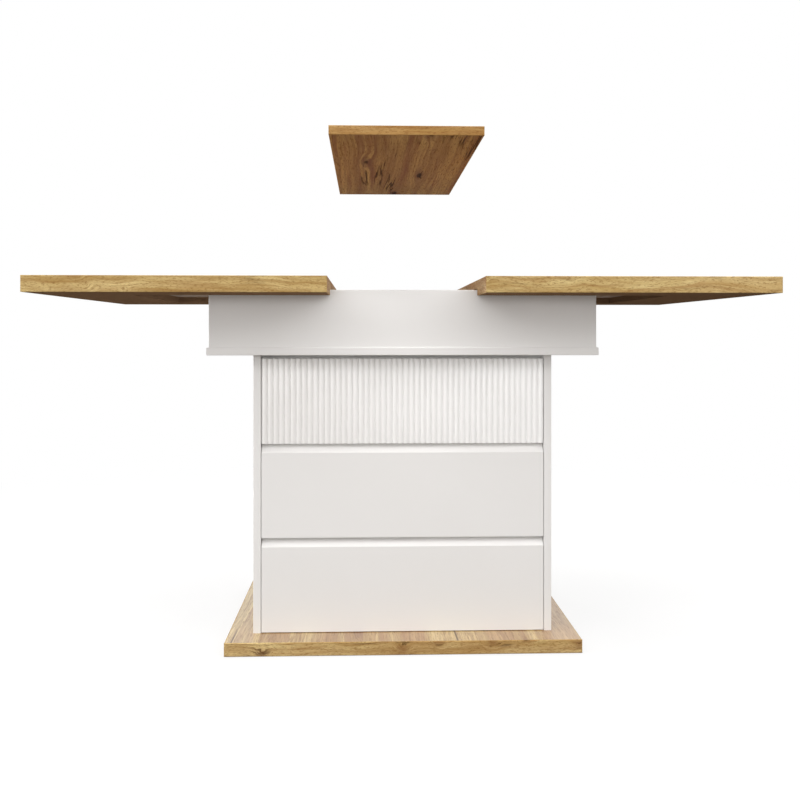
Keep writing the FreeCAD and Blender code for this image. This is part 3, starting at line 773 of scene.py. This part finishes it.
def cross_recess(head):
    """Rows of a cross recess in a head of this radius: deepest in the middle, and only near the two lines on
    which the driver's blades lie."""
    inner, outer, blade, deep = 0.06, 0.62, 0.12, 0.5
    radius = np.linspace(inner, outer, 8)[:, None] * head
    off_blade = radius * np.minimum(np.abs(np.sin(ANGLE)), np.abs(np.cos(ANGLE)))
    dip = np.clip(2.2 - off_blade / (blade * head), 0.0, 1.0) * (1 - (radius / (outer * head))**2)
    return all_round(radius), -deep * head * dip


print("turned shapes have", AROUND, "points a row")

# %% [markdown]
# The screws hold the base and the apron to the cabinet and the runners to the halves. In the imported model
# they are plain shanks. Here they get their recess and thread, since their heads show when the table is
# turned over or drawn apart.

# %% Screws
def screw(head, head_height, shank, length, pitch):
    """Recess, flat rim, countersunk flank, thread of triangular section, and point. The small tables hold a
    radius and a height or depth for each row."""
    recess_radius, recess_lift = cross_recess(head)
    rim = head * np.array([[0.86, 0.0], [0.98, -0.03], [1.0, -0.12]])
    flank = np.array([[head, 0.3 * head_height], [1.1 * shank, head_height]])
    run = np.arange(1.15 * head_height, length - 2.5 * shank, pitch / 5)[:, None]
    ridge = np.abs((run / pitch - ANGLE / (2 * np.pi)) % 1.0 - 0.5)
    thread = shank * (0.74 + 0.26 * np.clip(1 - 4 * ridge, 0.0, 1.0))
    fall = np.array([[0.7 * shank, length - 2.3 * shank], [0.45 * shank, length - shank],
                     [0.06 * shank, length]])
    radius = [recess_radius, all_round(rim[:, :1]), all_round(flank[:, :1]), thread, all_round(fall[:, :1])]
    depth = [-recess_lift, all_round(-rim[:, 1:]), all_round(flank[:, 1:]), all_round(run),
             all_round(fall[:, 1:])]
    return np.concatenate(radius), -np.concatenate(depth)


# The part, its body and whether the heads look up (1) or down (-1); then in metres the head's radius and
# height, the shank's radius, the length and the thread's pitch.
screws = (("base_screws", "pedestal", -1, 0.006, 0.004, 0.003, 0.064, 0.0028),
          ("floor_screws", "pedestal", 1, 0.005, 0.003, 0.0025, 0.05, 0.0024),
          ("left_runner_screws", "left_half", -1, 0.004, 0.003, 0.002, 0.034, 0.0018),
          ("right_runner_screws", "right_half", -1, 0.004, 0.003, 0.002, 0.034, 0.0018))
for node, body, way, head, *sizes in screws:
    low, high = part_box(node)
    top = low[2] if way < 0 else high[2]
    places = [(x, y, top) for x in (low[0] + head, high[0] - head) for y in (low[1] + head, high[1] - head)]
    skin("threaded_" + node, turned(places, (0, 0, way), *screw(head, *sizes)), bright_zinc, body,
         [node], sharp=50.0)

# %% [markdown]
# Glides under the base keep it off the floor. Each is a flat foot with a rounded rim and a hole in its
# middle for its nail, so a short profile turned round is all it takes.

# %% Glides
MM = 0.001
GLIDE = 0.016    # radius, in metres
low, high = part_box("base_glides")
profile = np.array([[0.05, 0.8], [0.25, 0.8], [0.32, 0.05], [0.75, 0.0], [0.9, 0.25], [0.98, 0.8], [1.0, 1.5],
                    [1.0, 5.0]])    # share of the radius, and height in millimetres
places = [(x, y, 0.0) for x in (low[0] + GLIDE, high[0] - GLIDE) for y in (low[1] + GLIDE, high[1] - GLIDE)]
glide_radius, glide_lift = all_round(profile[:, :1] * GLIDE), all_round(profile[:, 1:] * MM)
skin("turned_glides", turned(places, (0, 0, 1), glide_radius, glide_lift), slip, "pedestal",
     ["base_glides"])

# %% [markdown]
# With a drawer open, small fittings show: domed screw heads along each steel slide, and two white caps on the
# inside of each wall, near the front, over the screws that hold it. Nothing turns or slides on them, so they
# are made here alone, and ride on their drawer.

# %% Screw heads on the slides, and cover caps
HEAD, CAP = 0.0035, 0.0075                # radius of a screw head and of a cap, in metres
SLIDE_FACE, WALL_FACE = 0.2875, 0.274     # x of the slides' outer faces and of the drawer walls' inner faces
HEAD_ROWS, CAP_ROW = (-0.165, -0.02, 0.14), -0.161    # y of the heads and of the caps
CAP_RISE = 0.035                          # the caps lie this far above and below the middle of the slide
DOME = 1.6 * MM
dome = np.array([[0.8, 1.6], [0.95, 1.1], [1.0, 0.5], [1.0, -0.3]])
cap = np.array([[0.05, 1.2], [0.6, 1.15], [0.9, 0.9], [1.0, 0.3], [1.0, -0.2]])
recess_radius, recess_lift = cross_recess(HEAD)
head_radius = np.concatenate([recess_radius, all_round(dome[:, :1] * HEAD)])
head_lift = np.concatenate([recess_lift + DOME, all_round(dome[:, 1:] * MM)])
cap_radius, cap_lift = all_round(cap[:, :1] * CAP), all_round(cap[:, 1:] * MM)
for level in LEVELS:
    low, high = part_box(f"{level}_drawer_slides")
    middle = (low[2] + high[2]) / 2
    for side, way in (("left", -1), ("right", 1)):
        spots = [(way * SLIDE_FACE, y, middle) for y in HEAD_ROWS]
        skin(f"{level}_{side}_slide_heads", turned(spots, (way, 0, 0), head_radius, head_lift), bright_zinc,
             f"{level}_drawer", sharp=50.0)
        spots = [(way * WALL_FACE, CAP_ROW, middle + rise) for rise in (-CAP_RISE, CAP_RISE)]
        skin(f"{level}_{side}_cover_caps", turned(spots, (-way, 0, 0), cap_radius, cap_lift), cap_white,
             f"{level}_drawer")
